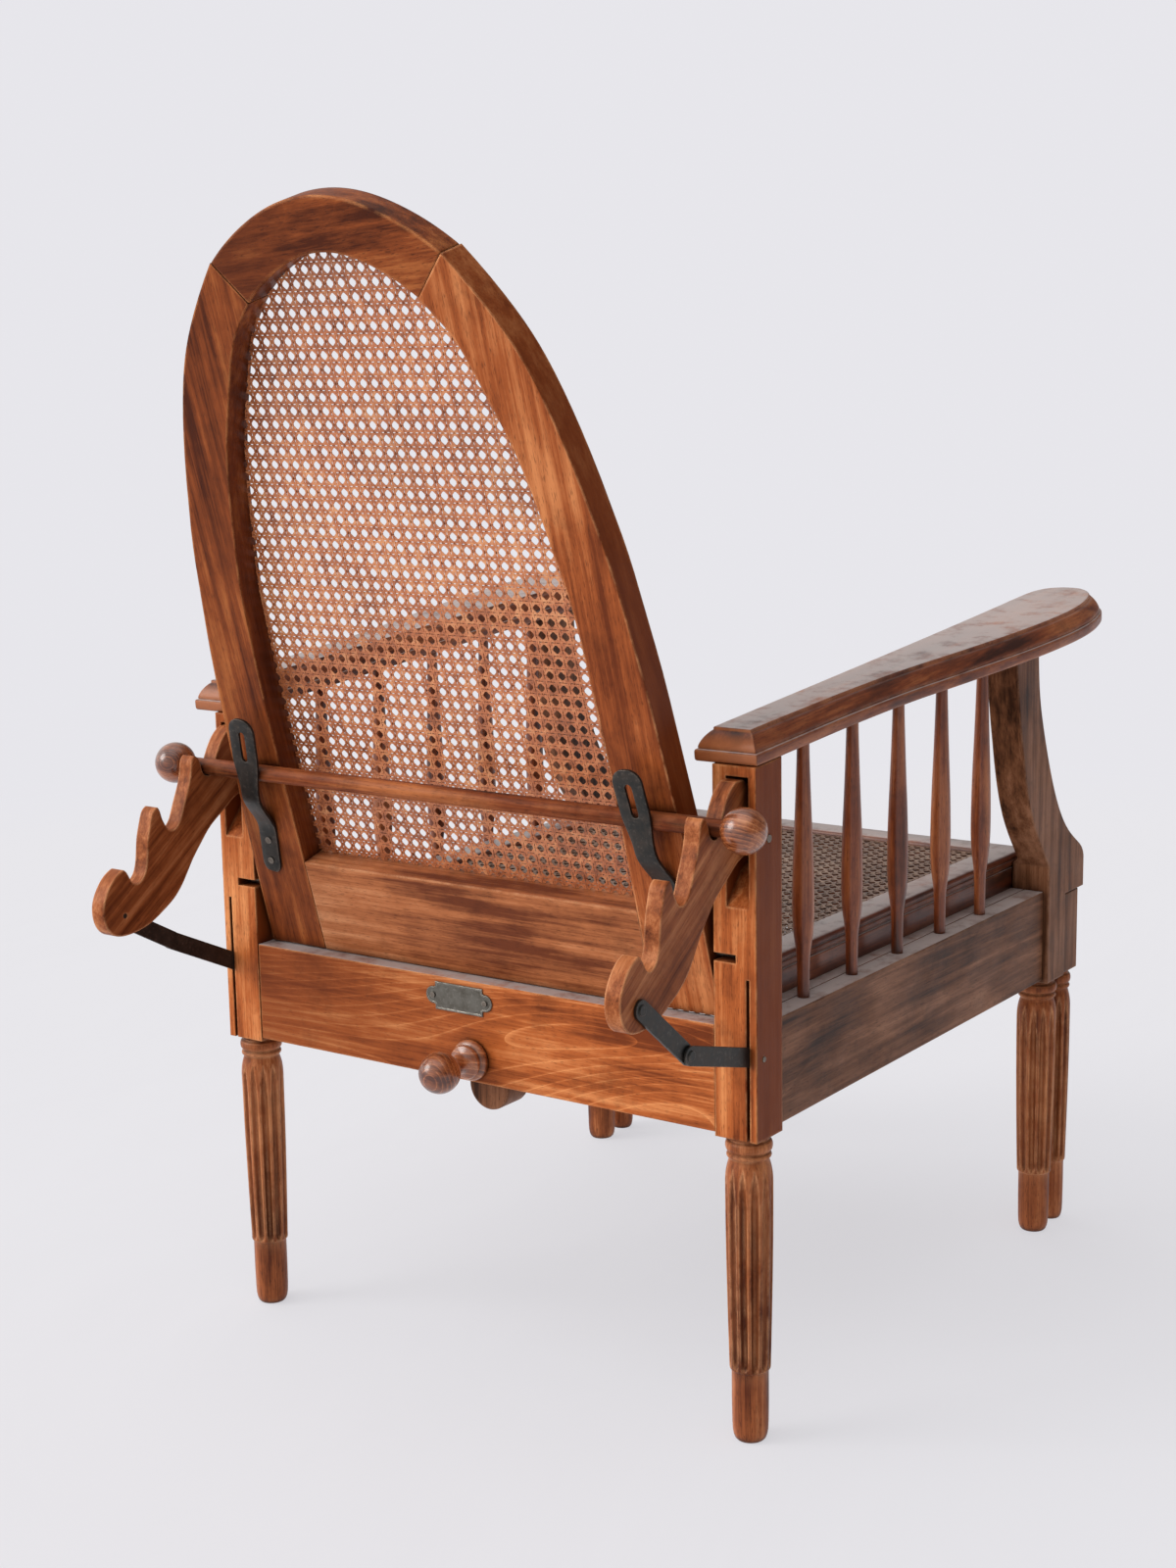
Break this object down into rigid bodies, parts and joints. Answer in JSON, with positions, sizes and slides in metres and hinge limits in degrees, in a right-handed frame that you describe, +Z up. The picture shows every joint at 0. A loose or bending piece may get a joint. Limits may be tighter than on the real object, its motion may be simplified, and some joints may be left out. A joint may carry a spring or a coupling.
{
  "type": "reclining cane lounge chair",
  "caption": "Low wooden lounge chair with oval caned back on pivot pins, notched racks and prop rod, sloping paddle arms on turned spindles, fluted legs and a pull-out caned leg rest",
  "frame": {"origin": "on the floor, under the middle of the whole part as closed here", "axes": "+Z up, -Y towards the front of the seat, +X towards the sitter's left"},
  "size_m": [0.769, 0.94, 1.1515],
  "materials": {
    "frame_wood": "satin stained",
    "amber_wood": "satin stained, lighter",
    "dark_wood": "polished, darker",
    "honey_cane": "woven cane, honey",
    "seat_cane": "woven cane, aged",
    "black_iron": "blackened, worn",
    "bright_iron": "worn steel",
    "plate_metal": "tarnished plate"
  },
  "bodies": {
    "frame": {"post_rear_left": "amber_wood", "post_rear_right": "amber_wood", "post_front_left": "frame_wood", "post_front_right": "frame_wood", "rail_rear": "amber_wood", "rail_front": "frame_wood", "rail_side_left": "dark_wood", "rail_side_right": "dark_wood", "arm_left": "dark_wood", "arm_right": "dark_wood", "spindle_left_1": "frame_wood", "spindle_left_2": "frame_wood", "spindle_left_3": "frame_wood", "spindle_left_4": "frame_wood", "spindle_left_5": "frame_wood", "spindle_right_1": "frame_wood", "spindle_right_2": "frame_wood", "spindle_right_3": "frame_wood", "spindle_right_4": "frame_wood", "spindle_right_5": "frame_wood", "seat_member_left": "frame_wood", "seat_member_right": "frame_wood", "seat_member_front": "frame_wood", "seat_member_rear": "frame_wood", "seat_cane": "seat_cane", "seat_cleat_left": "frame_wood", "seat_cleat_right": "frame_wood", "runner_guide_left": "frame_wood", "runner_guide_right": "frame_wood", "rack_pins": "bright_iron", "stay_pins": "bright_iron", "label_plate": "plate_metal", "plate_screws": "bright_iron"},
    "back": {"back_stile_left": "amber_wood", "back_stile_right": "amber_wood", "back_top_arch": "amber_wood", "back_bottom_rail": "frame_wood", "back_cane": "honey_cane", "back_pivot_pins": "bright_iron", "strap_left": "black_iron", "strap_right": "black_iron", "strap_screws": "bright_iron"},
    "rod": {"prop_rod": "frame_wood", "rod_ball_left": "dark_wood", "rod_ball_right": "dark_wood"},
    "leg_rest": {"rest_front_rail": "frame_wood", "rest_leg_left": "frame_wood", "rest_leg_right": "frame_wood", "rest_runner_left": "frame_wood", "rest_runner_right": "frame_wood", "rest_rear_rail": "frame_wood", "rest_cane": "seat_cane"},
    "latch": {"latch_knob": "dark_wood", "latch_cam": "frame_wood"},
    "rack_left": {"rack_left": "amber_wood"},
    "stay_post_left": {"stay_post_link_left": "black_iron"},
    "stay_rack_left": {"stay_rack_link_left": "black_iron"},
    "rack_right": {"rack_right": "amber_wood"},
    "stay_post_right": {"stay_post_link_right": "black_iron"},
    "stay_rack_right": {"stay_rack_link_right": "black_iron"}
  },
  "joints": [
    {"name": "back_recline", "type": "hinge", "parent": "frame", "child": "back", "pos_m": [-0.015, 0.2548, 0.47], "axis": [-1, 0, 0], "range_deg": [0, 10.9]},
    {"name": "rod_lift", "type": "slide", "parent": "back", "child": "rod", "axis": [0, 0.2787, 0.9604], "range_m": [0, 0.04]},
    {"name": "leg_rest_slide", "type": "slide", "parent": "frame", "child": "leg_rest", "axis": [0, -1, 0], "range_m": [0, 0.48]},
    {"name": "latch_turn", "type": "hinge", "parent": "frame", "child": "latch", "pos_m": [-0.015, 0.2498, 0.327], "axis": [0, 1, 0], "range_deg": [-90, 90]},
    {"name": "rack_left_fold", "type": "hinge", "parent": "frame", "child": "rack_left", "pos_m": [0.28775, 0.2498, 0.579], "axis": [-1, 0, 0], "range_deg": [0, 37.11]},
    {"name": "stay_post_left_fold", "type": "hinge", "parent": "frame", "child": "stay_post_left", "pos_m": [0.30065, 0.2598, 0.377], "axis": [-1, 0, 0], "range_deg": [0, 79.5]},
    {"name": "stay_rack_left_fold", "type": "hinge", "parent": "rack_left", "child": "stay_rack_left", "pos_m": [0.29765, 0.4418, 0.47], "axis": [1, 0, 0], "range_deg": [0, 90.91]},
    {"name": "rack_right_fold", "type": "hinge", "parent": "frame", "child": "rack_right", "pos_m": [-0.31775, 0.2498, 0.579], "axis": [-1, 0, 0], "range_deg": [0, 37.11]},
    {"name": "stay_post_right_fold", "type": "hinge", "parent": "frame", "child": "stay_post_right", "pos_m": [-0.33065, 0.2598, 0.377], "axis": [-1, 0, 0], "range_deg": [0, 71.74]},
    {"name": "stay_rack_right_fold", "type": "hinge", "parent": "rack_right", "child": "stay_rack_right", "pos_m": [-0.32765, 0.43928, 0.46567], "axis": [1, 0, 0], "range_deg": [0, 81.71]}
  ],
  "couplings": [
    {"joint": "rack_left_fold", "follows": "back_recline", "ratio": 3.4},
    {"joint": "stay_post_left_fold", "follows": "back_recline", "ratio": 7.2848},
    {"joint": "stay_rack_left_fold", "follows": "back_recline", "ratio": 8.3311},
    {"joint": "rack_right_fold", "follows": "back_recline", "ratio": 3.4},
    {"joint": "stay_post_right_fold", "follows": "back_recline", "ratio": 6.5729},
    {"joint": "stay_rack_right_fold", "follows": "back_recline", "ratio": 7.4873}
  ]
}
